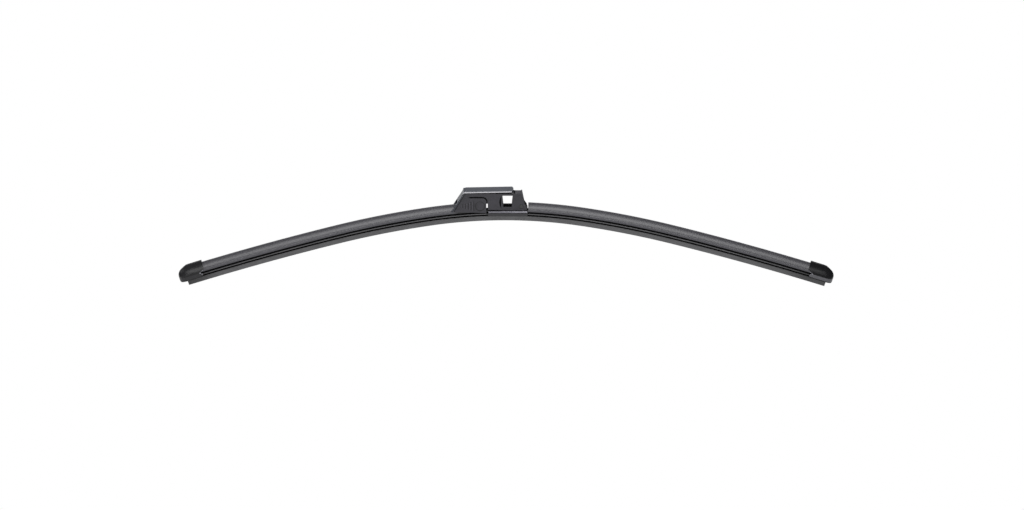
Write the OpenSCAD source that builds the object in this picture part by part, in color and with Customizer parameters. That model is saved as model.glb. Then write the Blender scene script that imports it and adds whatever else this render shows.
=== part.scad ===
// Flat wiper blade: a curved spring-rail blade with a clip-on spoiler, two end caps and a
// moulded centre adaptor that takes the wiper arm. All sizes in millimetres.
// X runs along the blade, -Y is the side that faces the wind, +Z points away from the glass.

/* [Blade curve] */
// Lip length from the top of the curve to the left end
left_len = 271.8; // [230:0.5:320]
// Lip length from the top of the curve to the right end
right_len = 275.3; // [230:0.5:320]
// Radius of the lip over the middle stretch
mid_r = 422; // [400:2:600]
// Radius of the lip over the shoulder stretches
shoulder_r = 780; // [700:10:1200]
// Radius of the lip over the end stretches
end_r = 2280; // [1600:20:4000]
// Angle that half of the middle stretch turns through
mid_turn = 8.4; // [7:0.2:9]
// Angle that each shoulder stretch turns through
shoulder_turn = 5.8; // [4:0.2:7]

/* [Rubber] */
// Width of the wiping edge
lip_w = 0.8; // [0.6:0.1:1.2]
// Height of the wiping wedge
wedge_h = 4.4; // [3.6:0.1:4.6]
// Width of the wedge at its top
wedge_w = 4.6; // [4:0.1:5.4]
// Height of the straight band at the top of the wedge
wedge_band = 0.7; // [0.4:0.1:1]
// Thickness of the tilting web over the wedge
web_w = 0.9; // [0.7:0.1:1.4]
// Height of the shoulder's underside above the lip
shoulder_z = 5.6; // [5.2:0.1:5.8]
// Width of the shoulder
shoulder_w = 6.4; // [5:0.1:6.6]
// Height of the shoulder
shoulder_h = 1.3; // [0.8:0.1:1.5]
// Width of the strip between the shoulder and the rails
bead_w = 4.8; // [4:0.1:5.6]
// Width of the head over the rails
head_w = 4.8; // [4:0.1:5.2]
// Height of the head over the rails
head_h = 0.8; // [0.6:0.1:1.2]

/* [Rails] */
// Height of the rails' underside above the lip
rail_z = 8.7; // [8.5:0.1:9]
// Thickness of each rail
rail_t = 0.9; // [0.7:0.05:1]
// Width of each rail
rail_w = 3.6; // [3.2:0.1:3.7]
// Distance between the two rails
rail_gap = 2.4; // [2:0.1:2.8]
// Distance that the rails stop short of the rubber's ends
rail_inset = 4; // [2:0.5:6]
// Clearance round the rails and the rubber's head
play = 0.1; // [0.05:0.01:0.15]

/* [Spoiler] */
// Width of the spoiler over its claws
claw_w = 11.2; // [11:0.1:11.4]
// Height of the claws' underside above the lip
claw_z = 8; // [7.6:0.1:8.1]
// Height of the claws' outer faces
claw_h = 2.2; // [2:0.1:2.6]
// Width of the opening between the claws
claw_gap = 6.8; // [6:0.1:7.2]
// Slope at the foot of each claw
claw_slope = 0.5; // [0.4:0.1:1]
// Depth of the line between a claw and the flank
line_w = 0.35; // [0.2:0.05:0.5]
// Height of the ridge above the lip
ridge_z = 15.6; // [15:0.1:16.4]
// Thickness of the ridge
ridge_w = 1.3; // [1:0.1:1.8]
// Distance of the ridge behind the middle of the blade
ridge_y = 1; // [0:0.1:2]
// Radius of the hollow flanks
flank_r = 12; // [10:0.5:20]
// Radius of the tunnel in the spoiler
tunnel_r = 0.9; // [0.5:0.1:1]
// Distance that a spoiler stops short of its cap's end wall
spoiler_inset = 1; // [0.5:0.1:2]
// Space between the left spoiler and the base
left_gap = 2; // [1.4:0.1:2.4]
// Space between the right spoiler and the base
right_gap = 0.4; // [0.4:0.1:1]

/* [End caps] */
// Length of a cap over the blade
cap_cover = 16; // [14:0.5:20]
// Length of the nose past the cap's end wall
cap_nose = 6.2; // [5:0.1:8]
// Distance that the rubber reaches past the right cap's end wall
right_tail = 1; // [0:0.1:2]
// Wall of a cap
cap_wall = 1.3; // [1:0.1:1.5]
// Clearance between a cap and the spoiler
cap_play = 0.15; // [0.1:0.05:0.3]
// Height of a cap's underside above the lip
cap_z = 4.9; // [4.7:0.1:5.4]
// Radius of the rounding at the top of the nose
brow_r = 6.5; // [5:0.1:8]
// Length over which the nose falls away
brow_len = 9.8; // [8:0.1:11]
// Radius of the rounding at the front of the nose
nose_r = 4; // [3:0.1:5]
// Height of the frontmost point of the nose above the lip
nose_z = 9.4; // [8.5:0.1:10.5]
// Radius of the rounding under the nose
chin_r = 1.6; // [1:0.1:2]
// Width of the notch in a cap's mouth
notch_w = 4; // [3:0.1:4.4]
// Height of the notch's point above the lip
notch_z = 8.4; // [8:0.1:8.6]
// Length of the notch
notch_len = 3.8; // [2.6:0.1:5]

/* [Mount base] */
// Position of the base's left end
base_x = -14; // [-16:0.5:-12]
// Distance that the base reaches past the adaptor's cheeks
base_reach = 0.6; // [0.4:0.1:1]
// Distance that the base's skirts stand back from the cheeks' outer faces
skirt_back = 0; // [0:0.1:0.4]
// Height of the skirts' lower edge above the lip
skirt_z = 5; // [4.9:0.1:5.4]
// Height of the skirts
skirt_h = 2.5; // [2:0.1:2.8]
// Height of the sloping ledge over the skirts
ledge_h = 1.6; // [1.4:0.1:1.9]
// Clearance between the base's deck and the adaptor's cheeks
deck_play = 0.2; // [0.1:0.05:0.4]
// Thickness of the base beside the rails, at the ledge's upper edge
ledge_wall = 0.7; // [0.5:0.1:1]
// Height of the deck above the lip
deck_z = 11.6; // [11.3:0.1:11.8]
// Width of the lug that holds the hinge pin
lug_w = 8; // [6:0.2:10]
// Radius of the lug round the hinge pin
lug_r = 3.4; // [3:0.1:3.8]
// Length of the lug's sloping foot
lug_foot = 3; // [2:0.1:4]

/* [Hinge pin] */
// Position of the pin along the blade
pin_x = 13.8; // [12:0.1:14.5]
// Height of the pin above the lip
pin_z = 13.4; // [13.2:0.1:13.8]
// Diameter of the pin
pin_d = 3.4; // [3:0.1:3.6]
// Running clearance between the pin and the adaptor, on the radius
pin_play = 0.05; // [0.02:0.01:0.08]

/* [Adaptor] */
// Width over the adaptor's side walls
side_w = 16; // [15.8:0.1:16.4]
// Thickness of the side walls
side_t = 1.6; // [1.2:0.1:1.8]
// Height of the side walls' top above the lip
side_top = 24.7; // [24:0.1:25.4]
// Position of the side walls' lower left corner
side_x = -42.4; // [-44:0.2:-40]
// Height of the side walls' lower edge at the left
side_low_left = 8.8; // [8.4:0.1:9.4]
// Height of the side walls' lower edge at the tab's slot
side_low_right = 7.9; // [7.6:0.1:8.4]
// Height of the lower edge between the slot and the arm's seat
side_step = 10.7; // [10.4:0.1:11.2]
// Angle of the sloping left end
slope_a = 58.7; // [55:0.1:62]
// Radius of the arm's round ear, which the side wall follows
ear_r = 10.8; // [10:0.1:12]
// Position of the ear's centre
ear_x = 6.35; // [6:0.05:7]
// Height of the ear's centre above the lip
ear_z = 17.2; // [16.8:0.1:17.6]
// Thickness of the roof under the cover
roof_t = 1.5; // [1.2:0.1:2]
// Width of the rib that hangs from the roof behind the tabs' ends
rib_wide = 6; // [5:0.5:11]
// Height of that rib's lower edge above the lip
rib_z = 14.9; // [14.6:0.1:16]
// Length of that rib along the blade
rib_long = 2.6; // [2:0.1:4]
// Distance that the thin ribs behind the bending lines stand in from the walls
back_rib = 0.45; // [0.3:0.05:0.5]
// Distance that those ribs reach past the bending line on both sides
back_lap = 1; // [0.8:0.1:1.4]
// Depth of the groove between the walls and the cover's sloping end
groove_d = 0.8; // [0.6:0.1:1]
// Depth of the groove under the cover's plate
brim_d = 0.6; // [0.4:0.1:0.8]
// Height of the groove under the cover's plate
brim_h = 1.2; // [0.8:0.1:1.4]
// Width of the groove round the arm's ear
ear_groove_w = 1.3; // [1:0.1:1.6]
// Depth of the groove round the arm's ear
ear_groove_d = 0.8; // [0.5:0.1:1]

/* [Arm seat] */
// Width over the seat's cheeks
seat_w = 14.4; // [14:0.1:14.6]
// Thickness of the cheeks
cheek_t = 1.4; // [1.2:0.1:1.5]
// Height of the post's roof above the lip
seat_z = 24.2; // [23.8:0.1:24.6]
// Left edge of the post's roof
post_x = 8.9; // [8.4:0.1:9.4]
// Right edge of the post's roof
post_end = 14.7; // [14.2:0.1:15.2]
// Right end of the cheeks at their foot
cheek_end = 18.6; // [18:0.1:19]
// Thickness of the post's roof
post_t = 1.6; // [1.4:0.1:2]
// Height of the stop at the roof's right edge
stop_h = 0.5; // [0.3:0.1:0.8]
// Length of the stop along the blade
stop_len = 0.9; // [0.7:0.1:1.2]
// Height of the cheeks' lower edge
cheek_low = 10.3; // [10.2:0.1:10.6]
// Length of the sloping stretches at the cheeks' right edge
cheek_step = 2.2; // [1.6:0.1:2.6]
// Height of the cheeks' right edge over the pin, up to where it steepens
cheek_rise = 2.6; // [2:0.1:3]
// Diameter of the round pocket under the roof's right corner
pocket_d = 1.3; // [1:0.1:1.4]
// Height of the foot flange
foot_h = 0.8; // [0.6:0.1:1]
// Distance that the foot flange stands proud
foot_proud = 0.4; // [0.2:0.1:0.5]
// Left edge of the window at its top
window_x = -2.2; // [-2.4:0.1:-1.8]
// Width of the window at its top
window_w = 9.2; // [8.8:0.1:9.6]
// Width of the window at its sill
window_low_w = 7; // [6.6:0.1:7.4]
// Height of the sill above the lip
window_z = 12.9; // [12.6:0.1:13.4]
// Height of the window
window_h = 9.8; // [9.4:0.1:10]

/* [Release tabs] */
// Left end of a tab, where it bends
tab_x = -30.2; // [-31:0.1:-29]
// Right end of the slot round a tab
tab_end = -14.2; // [-14.4:0.1:-14]
// Height of the slot's upper edge above the lip
tab_top = 21.9; // [21.4:0.1:22.2]
// Width of the slot round a tab
slot_w = 1.2; // [1:0.05:1.4]
// Radius of the slot's outer corner
slot_r = 4.6; // [4:0.1:5.2]
// Width of the bending line
hinge_w = 0.3; // [0.25:0.05:0.4]
// Thickness of a tab
tab_t = 1.2; // [1:0.1:1.25]
// Height of the grip ribs
rib_h = 0.45; // [0.2:0.05:0.5]
// Width of a grip rib
rib_w = 0.8; // [0.6:0.1:1]
// Height of the longest grip rib
rib_len = 8; // [6:0.5:9]
// Distance from one grip rib to the next
rib_pitch = 2.3; // [2:0.1:2.6]
// Number of grip ribs
rib_count = 5; // [3:1:5]
// Share of its length that the shortest rib has lost
rib_taper = 0.64; // [0.4:0.02:0.8]
// Distance from the thumb dish to the first grip rib
rib_start = 1.95; // [1.4:0.05:2.4]
// Radius of the thumb dish
dish_r = 3.9; // [3.4:0.1:4.2]
// Distance of the dish from the tab's free end
dish_in = 1.4; // [1:0.1:2]
// Distance of the dish from the wall's lower edge
dish_up = 2; // [1.4:0.1:2.4]
// Depth of the thumb dish
dish_d = 0.35; // [0.2:0.05:0.5]

/* [Cover] */
// Width of the cover
cover_w = 18; // [17.4:0.1:18.4]
// Thickness of the cover's plate
cover_t = 1.8; // [1.4:0.1:2]
// Right end of the cover at its lower edge
cover_end = 5.8; // [5.4:0.1:6.6]
// Distance that the middle of the right end stands out
cover_bow = 1.6; // [1:0.1:1.8]
// Size of the bevel along the plate's upper edges
bevel = 1.2; // [0.6:0.05:1.25]
// Size of the undercut along the plate's lower edges
undercut = 0.5; // [0.3:0.05:0.55]
// Rise of the cover towards its right end
cover_rise = 0.8; // [0.4:0.1:1]
// Thickness of the sloping end
apron_t = 1.3; // [1:0.1:1.6]
// Gap between the sloping end and the side walls
apron_gap = 1; // [0.6:0.1:1.2]
// Height of the sloping end's lower edge above the lip
apron_z = 8.7; // [8.4:0.1:9.4]
// Width of the arch over the spoiler
arch_w = 14.4; // [14:0.1:15]
// Height of the arch above the lip
arch_z = 16.8; // [16.4:0.1:18]
// Size of the cover's rounded left corner
cover_r = 3; // [2:0.5:5]

/* [Hidden] */
$fn = 96;
// Facets of the long arcs
arc_fn = 720;
// Overshoot of cuts
cut = 1;

// Bend radii and turning angles of the three stretches, from the middle outwards
bend_r = [mid_r, shoulder_r, end_r];
bend_a = [mid_turn, shoulder_turn, 90];
rail_reach = rail_gap / 2 + rail_w;
rail_top = rail_z + rail_t;
head_top = rail_top + play + head_h;
claw_top = claw_z + claw_h;
cap_side = claw_w / 2 + cap_play + cap_wall;
cap_top = ridge_z + cap_play + cap_wall;
ledge_z = skirt_z + skirt_h + ledge_h;
base_end = cheek_end + base_reach;
base_w = seat_w - 2 * skirt_back;
ledge_w = 2 * (rail_reach + play + ledge_wall);
deck_w = seat_w - 2 * cheek_t - 2 * deck_play;
arm_mid = (post_x + post_end) / 2;
rear_side = side_w / 2;
cover_top = side_top + cover_t;
// Middle of the thumb dish
dish_x = tab_end - slot_w - dish_r - dish_in;
dish_z = side_low_right + dish_r + dish_up;
// Run of the walls' sloping end, and the cover's inner face that much further left
slope_run = (side_top - side_low_left) / tan(slope_a);
slope_back = apron_gap / sin(slope_a);
// Where the cover's flat plate starts, and the angle at which it rises
plate_x = side_x + slope_run - slope_back;
rise_a = atan(cover_rise / (cover_end + cover_bow - plate_x));
// Radius of the cover's right end, seen from above
bow_r = (cover_w * cover_w / 4 + cover_bow * cover_bow) / (2 * cover_bow);

// Turning angle and place of the bend centre at the start of stretch i
function turned(i) = i == 0 ? 0 : turned(i - 1) + bend_a[i - 1];
function bend_centre(i) = i == 0 ? [0, -bend_r[0]]
    : bend_centre(i - 1) + (bend_r[i - 1] - bend_r[i]) * [sin(turned(i)), cos(turned(i))];
// Lip length at the start of stretch i, and lip length at the angle a of stretch i
function lip_at(i) = i == 0 ? 0 : lip_at(i - 1) + bend_r[i - 1] * bend_a[i - 1] * PI / 180;
function deg(len, r) = len / r * 180 / PI;
// The stretch that holds the lip length s, the slope there and the point on the lip
function stretch_of(s) = s < lip_at(1) ? 0 : s < lip_at(2) ? 1 : 2;
function slope_at(s) = turned(stretch_of(s)) + deg(s - lip_at(stretch_of(s)), bend_r[stretch_of(s)]);
function lip_point(s) = bend_centre(stretch_of(s))
    + bend_r[stretch_of(s)] * [sin(slope_at(s)), cos(slope_at(s))];
// Lip length at the horizontal distance x from the top of the curve, on the middle stretch
function lip_len(x) = mid_r * asin(x / (mid_r + rail_z)) * PI / 180;
// The outline of a section from the points of its right half, lowest first
function both_sides(half) = concat(half, [for (i = [len(half) - 1:-1:0]) [-half[i].x, half[i].y]]);
// Centre of the circle of radius r through p and q, on the left of the way from p to q
function arc_centre(p, q, r) = (p + q) / 2
    + sqrt(r * r - norm(q - p) * norm(q - p) / 4) * [p.y - q.y, q.x - p.x] / norm(q - p);
// A length rounded to a hundredth
function round_100(v) = [round(v.x * 100) / 100, round(v.y * 100) / 100];

// Moves to a bend centre in two steps, a round one and a fine one, so that the stretches meet exactly
module at_bend(i, side) {
    whole = round_100(bend_centre(i));
    fine = bend_centre(i) - whole;
    translate([side * whole.x, 0, whole.y])
        translate([side * fine.x, 0, fine.y])
            rotate([-90 * side, 0, 0])
                children();
}

// Carries a section along one half of the blade, from the lip length s0 to s1
module sweep_half(side, s0, s1) {
    for (i = [stretch_of(s0):stretch_of(s1)]) {
        from = max(s0, lip_at(i));
        to = i == 2 ? s1 : min(s1, lip_at(i + 1));
        from_a = from == lip_at(i) ? turned(i) : turned(i) + deg(from - lip_at(i), bend_r[i]);
        to_a = i < 2 && to == lip_at(i + 1) ? turned(i + 1) : turned(i) + deg(to - lip_at(i), bend_r[i]);
        at_bend(i, side)
            rotate_extrude(angle = to_a - from_a, start = from_a - 90 * side, $fn = arc_fn)
                translate([bend_r[i], 0])
                    mirror([0, side > 0 ? 0 : 1])
                        mirror([1, -1])
                            children();
    }
}

// Carries a section along the whole blade
module sweep_whole(inset = 0) {
    sweep_half(1, 0, right_len - inset) children();
    sweep_half(-1, 0, left_len - inset) children();
}

// Moves everything so that the origin is the middle of the arm's seat
module placed() {
    translate([-arm_mid, 0, -seat_z]) children();
}

// Draws an outline given in X and Z, with its thickness along Y from y0 to y1
module slab(y0, y1) {
    translate([0, y1, 0])
        rotate([90, 0, 0])
            linear_extrude(y1 - y0)
                children();
}

// Draws an outline given in Y and Z, with its length along X from x0 to x1
module bar(x0, x1) {
    translate([x0, 0, 0])
        rotate([90, 0, 90])
            linear_extrude(x1 - x0)
                children();
}

module rubber_section() {
    polygon(both_sides([
        [lip_w / 2, 0],
        [wedge_w / 2, wedge_h - wedge_band],
        [wedge_w / 2, wedge_h],
        [web_w / 2, wedge_h],
        [web_w / 2, shoulder_z],
        [shoulder_w / 2, shoulder_z],
        [shoulder_w / 2, shoulder_z + shoulder_h],
        [bead_w / 2, shoulder_z + shoulder_h],
        [bead_w / 2, rail_z - play],
        [rail_gap / 2 - play, rail_z - play],
        [rail_gap / 2 - play, rail_top + play],
        [head_w / 2, rail_top + play],
        [head_w / 2, head_top]
    ]));
}

module rail_section(side) {
    translate([side > 0 ? rail_gap / 2 : -rail_reach, rail_z])
        square([rail_w, rail_t]);
}

// Hollow that holds the rails, the rubber's head and the way out between the claws
module seat_section(gap) {
    translate([-rail_reach - play, rail_z - play])
        square([2 * (rail_reach + play), rail_t + 2 * play]);
    translate([-head_w / 2 - play, rail_z])
        square([head_w + 2 * play, head_top + play - rail_z]);
    translate([-gap / 2, 0])
        square([gap, rail_z]);
}

// The spoiler's outline from claw to claw, grown by g, on the given lower points of its rear half
module flanked(g, foot) {
    reach = claw_w / 2 + g;
    front_foot = [-reach + line_w, claw_top + line_w];
    front_top = [ridge_y - ridge_w / 2 - g, ridge_z + g];
    rear_foot = [reach - line_w, claw_top + line_w];
    rear_top = [ridge_y + ridge_w / 2 + g, ridge_z + g];
    difference() {
        polygon(concat(
            [for (p = foot) [-p.x, p.y]],
            [[-reach, claw_top], front_foot, front_top, rear_top, rear_foot, [reach, claw_top]],
            [for (i = [len(foot) - 1:-1:0]) foot[i]]
        ));
        translate(arc_centre(front_foot, front_top, flank_r)) circle(flank_r);
        translate(arc_centre(rear_top, rear_foot, flank_r)) circle(flank_r);
    }
}

module spoiler_section() {
    difference() {
        flanked(0, [[claw_w / 2 - claw_slope, claw_z], [claw_w / 2, claw_z + claw_slope]]);
        seat_section(claw_gap);
        translate([ridge_y / 2, (head_top + ridge_z) / 2 - tunnel_r / 2]) circle(tunnel_r);
    }
}

// Runs a spoiler from the base's end to the cap's end wall
module spoiler(side, from, len) {
    color([0.33, 0.33, 0.35])
        placed()
            sweep_half(side, from, len)
                spoiler_section();
}

module wiping_rubber() {
    color([0.2, 0.2, 0.21])
        placed()
            sweep_whole()
                rubber_section();
}

module rail(side) {
    color([0.1, 0.1, 0.11])
        placed()
            sweep_whole(rail_inset)
                rail_section(side);
}

module rail_front() {
    rail(-1);
}

module rail_rear() {
    rail(1);
}

module spoiler_left() {
    spoiler(-1, lip_len(-base_x + left_gap), left_len - spoiler_inset);
}

module spoiler_right() {
    spoiler(1, lip_len(base_end + right_gap), right_len - right_tail - spoiler_inset);
}

// Turns and moves to the end of the blade: X outwards, origin at the lip's end
module at_end(side, s) {
    translate([side * lip_point(s).x, 0, lip_point(s).y])
        rotate([0, side * slope_at(s), 0])
            mirror([side > 0 ? 0 : 1, 0, 0])
                children();
}

// Outer form of a cap: the grown spoiler with skirts past the shoulder, cut by the nose's outlines
module cap_form() {
    intersection() {
        bar(-cap_cover, cap_nose)
            flanked(cap_play + cap_wall, [[cap_side, cap_z]]);
        slab(-cap_side - cut, cap_side + cut)
            cap_side_view();
        linear_extrude(cap_top + cut)
            cap_top_view();
    }
}

// Outline of a cap seen from the side: flat top, falling brow, round front and chin
module cap_side_view() {
    hull() {
        translate([-cap_cover - cut, cap_z]) square([cut, cap_top - cap_z + cut]);
        translate([cap_nose - brow_len, cap_top - brow_r]) circle(brow_r);
        translate([cap_nose - nose_r, nose_z]) circle(nose_r);
        translate([cap_nose - chin_r, cap_z + chin_r]) circle(chin_r);
    }
}

// Outline of a cap seen from above: straight sides, round nose
module cap_top_view() {
    hull() {
        translate([-cap_cover - cut, -cap_side]) square([cut, 2 * cap_side]);
        translate([cap_nose - cap_side, 0]) circle(cap_side);
    }
}

// Hollow of a cap: room for the spoiler, the claws and the rubber, whose end reaches the tail
module cap_hollow(tail) {
    bar(-cap_cover - cut, 0)
        flanked(cap_play, [[claw_w / 2 + cap_play, cap_z - cut]]);
    bar(-cap_cover - cut, tail + 2 * play)
        translate([-claw_gap / 2, 0])
            square([claw_gap, head_top + play]);
}

// An end cap at the lip length s, with its notches at the mouth
module end_cap(side, s, tail) {
    color([0.09, 0.09, 0.1])
        placed()
            at_end(side, s)
                difference() {
                    cap_form();
                    cap_hollow(tail);
                    slab(-cap_side - cut, cap_side + cut)
                        polygon([
                            [-cap_cover - cut, notch_z - notch_w / 2],
                            [-cap_cover, notch_z - notch_w / 2],
                            [-cap_cover + notch_len, notch_z],
                            [-cap_cover, notch_z + notch_w / 2],
                            [-cap_cover - cut, notch_z + notch_w / 2]
                        ]);
                }
}

module end_cap_left() {
    end_cap(-1, left_len, 0);
}

module end_cap_right() {
    end_cap(1, right_len - right_tail, right_tail);
}

// Section of the base: skirts, sloping ledges and deck
module base_section() {
    polygon(both_sides([
        [base_w / 2, skirt_z],
        [base_w / 2, skirt_z + skirt_h],
        [ledge_w / 2, ledge_z],
        [ledge_w / 2, cheek_low - deck_play],
        [deck_w / 2, cheek_low - deck_play],
        [deck_w / 2, deck_z]
    ]));
}

module mount_base() {
    color([0.3, 0.3, 0.31])
        placed()
            difference() {
                union() {
                    bar(base_x, base_end) base_section();
                    slab(-lug_w / 2, lug_w / 2)
                        union() {
                            translate([pin_x, pin_z]) circle(lug_r);
                            polygon([
                                [pin_x - lug_r - lug_foot, ledge_z],
                                [pin_x - lug_r, pin_z],
                                [cheek_end, pin_z],
                                [base_end, ledge_z]
                            ]);
                        }
                }
                sweep_half(1, 0, lip_len(base_end + 2 * cut)) seat_section(claw_gap);
                sweep_half(-1, 0, lip_len(-base_x + 2 * cut)) seat_section(claw_gap);
                translate([pin_x, 0, pin_z])
                    rotate([90, 0, 0])
                        cylinder(h = lug_w + 2 * cut, d = pin_d, center = true);
            }
}

module hinge_pin() {
    color([0.45, 0.45, 0.46])
        placed()
            translate([pin_x, 0, pin_z])
                rotate([90, 0, 0])
                    cylinder(h = seat_w, d = pin_d, center = true);
}

// Outline of one side wall in X and Z, before the slot is cut
module side_outline() {
    difference() {
        polygon([
            [side_x, side_low_left],
            [tab_end, side_low_right],
            [tab_end, side_step],
            [ear_x, side_step],
            [ear_x, side_top],
            [side_x + slope_run, side_top]
        ]);
        translate([ear_x, ear_z]) circle(ear_r);
    }
}

// Region inside the slot's outer edge, open at the bottom
module tab_region(inset) {
    intersection() {
        translate([tab_x, 0]) square([tab_end - tab_x - inset, tab_top - inset]);
        union() {
            translate([tab_x, 0]) square([tab_end - tab_x - slot_r, tab_top]);
            translate([tab_x, 0]) square([tab_end - tab_x, tab_top - slot_r]);
            translate([tab_end - slot_r, tab_top - slot_r]) circle(slot_r - inset);
        }
    }
}

// Inner layer of a side wall that closes the groove beside the cover's sloping end
module groove_floor() {
    polygon([
        [side_x - slope_back, side_low_left],
        [side_x + groove_d, side_low_left],
        [side_x + slope_run + groove_d, side_top],
        [side_x + slope_run - slope_back, side_top]
    ]);
}

// Outline of a cheek in X and Z, with the window left open
module cheek_outline() {
    difference() {
        polygon([
            [ear_x - ear_r - cut, cheek_low],
            [cheek_end, cheek_low],
            [cheek_end, pin_z - base_reach],
            [cheek_end - cheek_step, pin_z + cheek_rise],
            [post_end, seat_z],
            [post_x, seat_z],
            [cover_end, side_top - roof_t / 2],
            [ear_x - ear_r - cut, side_top - roof_t / 2]
        ]);
        polygon([
            [window_x + (window_w - window_low_w) / 2, window_z],
            [window_x + (window_w + window_low_w) / 2, window_z],
            [window_x + window_w, window_z + window_h],
            [window_x, window_z + window_h]
        ]);
    }
}

// Groove that follows the arm's round ear, left of the window
module ear_groove() {
    intersection() {
        translate([ear_x, seat_w / 2 + cut, ear_z])
            rotate([90, 0, 0])
                difference() {
                    cylinder(h = cut + ear_groove_d, r = ear_r + cut);
                    translate([0, 0, -cut]) cylinder(h = 4 * cut, r = ear_r - ear_groove_w);
                }
        translate([ear_x - ear_r - 2 * cut, 0, cheek_low + foot_h])
            cube([window_x - ear_x + ear_r + cut, side_w, side_top - roof_t / 2 - cheek_low - foot_h]);
    }
}

// One cheek with its ear groove and the pocket under the roof's right corner
module cheek() {
    difference() {
        slab(seat_w / 2 - cheek_t, seat_w / 2) cheek_outline();
        ear_groove();
        translate([post_end - stop_len, seat_w / 2 + cut, seat_z - pocket_d / 2 - foot_proud])
            rotate([90, 0, 0])
                cylinder(h = cut + ear_groove_d, d = pocket_d);
    }
}

// One side of the adaptor: wall, groove floor, rib behind the bending line, cheek and foot
module adaptor_side() {
    difference() {
        slab(rear_side - side_t, rear_side) side_outline();
        slab(rear_side - side_t - cut, rear_side + cut)
            tab_region(0);
        translate([side_x, rear_side - brim_d, side_top - brim_h])
            cube([ear_x - side_x + cut, brim_d + cut, brim_h + cut]);
    }
    slab(rear_side - side_t, rear_side - groove_d) groove_floor();
    translate([tab_x - back_lap, rear_side - side_t - back_rib, side_low_left])
        cube([hinge_w + 2 * back_lap, back_rib + play, side_top - side_low_left]);
    intersection() {
        grip_ribs();
        translate([side_x, 0, 0]) cube([tab_x - side_x, side_w, side_top]);
    }
    cheek();
    translate([0, 0, cheek_low])
        slab(seat_w / 2 - cheek_t, seat_w / 2 + foot_proud)
            translate([ear_x - ear_r / 2, 0])
                square([cheek_end - ear_x + ear_r / 2, foot_h]);
}

module adaptor_body() {
    color([0.27, 0.27, 0.28])
        placed()
            difference() {
                union() {
                    adaptor_side();
                    mirror([0, 1, 0]) adaptor_side();
                    translate([side_x + slope_run, -rear_side, side_top - roof_t])
                        cube([cover_end - side_x - slope_run, side_w, roof_t]);
                    translate([post_x, -seat_w / 2, seat_z - post_t])
                        cube([post_end - post_x, seat_w, post_t]);
                    translate([post_end - stop_len, -seat_w / 2, seat_z])
                        cube([stop_len, seat_w, stop_h]);
                    translate([tab_end - slot_w, -rib_wide / 2, rib_z])
                        cube([rib_long, rib_wide, side_top - rib_z]);
                }
                translate([pin_x, 0, pin_z])
                    rotate([90, 0, 0])
                        cylinder(h = side_w + 2 * cut, d = pin_d + 2 * pin_play, center = true);
            }
}

// Outline of a tab in X and Z: what the slot leaves, clear of the bending line
module tab_outline() {
    intersection() {
        side_outline();
        tab_region(slot_w);
        translate([tab_x + hinge_w, 0]) square([tab_end - tab_x, side_top]);
    }
}

// Upright ribs beside the thumb dish, each shorter than the one before it
module grip_ribs() {
    for (i = [0:rib_count - 1]) {
        len = rib_len * (1 - rib_taper * i / (rib_count - 1));
        translate([dish_x - dish_r - rib_start - rib_pitch * i, rear_side - rib_h, dish_z - len / 2])
            cube([rib_w, 2 * rib_h, len]);
    }
}

module release_tab() {
    difference() {
        slab(rear_side - tab_t, rear_side) tab_outline();
        translate([dish_x, rear_side - dish_d, dish_z])
            rotate([-90, 0, 0])
                cylinder(h = cut + dish_d, r = dish_r);
    }
    intersection() {
        grip_ribs();
        translate([tab_x + hinge_w, 0, 0]) cube([rib_count * rib_pitch, side_w, side_top]);
    }
}

module release_tab_rear() {
    color([0.29, 0.29, 0.3]) placed() release_tab();
}

module release_tab_front() {
    color([0.29, 0.29, 0.3]) placed() mirror([0, 1, 0]) release_tab();
}

// Outline of the cover in X and Z: plate, rounded corner and sloping end
module cover_outline() {
    thick = apron_t / sin(slope_a);
    foot = side_x - (side_low_left - apron_z) / tan(slope_a) - slope_back;
    right = cover_end + cover_bow + cut;
    polygon([
        [foot - thick, apron_z],
        [foot, apron_z],
        [plate_x, side_top],
        [right, side_top],
        [right, cover_top + (right - plate_x) * tan(rise_a)],
        [plate_x - thick + cover_r, cover_top],
        [plate_x - thick + cover_r / 4, cover_top - cover_r / 4],
        [plate_x - thick, side_top - cover_r / 3]
    ]);
}

// What the bevel and the undercut take from the plate's rear edge
module edge_cut() {
    translate([plate_x, 0, cover_top])
        rotate([0, -rise_a, 0])
            rotate([90, 0, 90])
                linear_extrude(cover_end + 2 * cover_bow + cut - plate_x) {
                    polygon([
                        [cover_w / 2 - bevel - cut, cut],
                        [cover_w / 2 + cut, -bevel - cut],
                        [cover_w / 2 + cut, cut]
                    ]);
                    polygon([
                        [cover_w / 2 + cut, -bevel - play + cut],
                        [cover_w / 2 - undercut, -bevel - play - undercut],
                        [cover_w / 2 - undercut, -side_top],
                        [cover_w / 2 + cut, -side_top]
                    ]);
                }
}

// What the curved right end takes from the plate
module end_cut() {
    difference() {
        translate([cover_end - cut, -cover_w / 2 - cut, side_top - cut])
            cube([2 * cover_bow + 2 * cut, cover_w + 2 * cut, cover_t + cover_rise + 3 * cut]);
        translate([cover_end + cover_bow - bow_r, 0, side_top - 2 * cut])
            cylinder(h = cover_t + cover_rise + 5 * cut, r = bow_r);
    }
}

module adaptor_cover() {
    color([0.4, 0.41, 0.43])
        placed()
            difference() {
                slab(-cover_w / 2, cover_w / 2) cover_outline();
                translate([side_x - slope_run, -arch_w / 2, 0]) cube([2 * slope_run, arch_w, arch_z]);
                edge_cut();
                mirror([0, 1, 0]) edge_cut();
                end_cut();
            }
}

wiping_rubber();
rail_front();
rail_rear();
spoiler_left();
spoiler_right();
end_cap_left();
end_cap_right();
mount_base();
hinge_pin();
adaptor_body();
adaptor_cover();
release_tab_front();
release_tab_rear();
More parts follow.
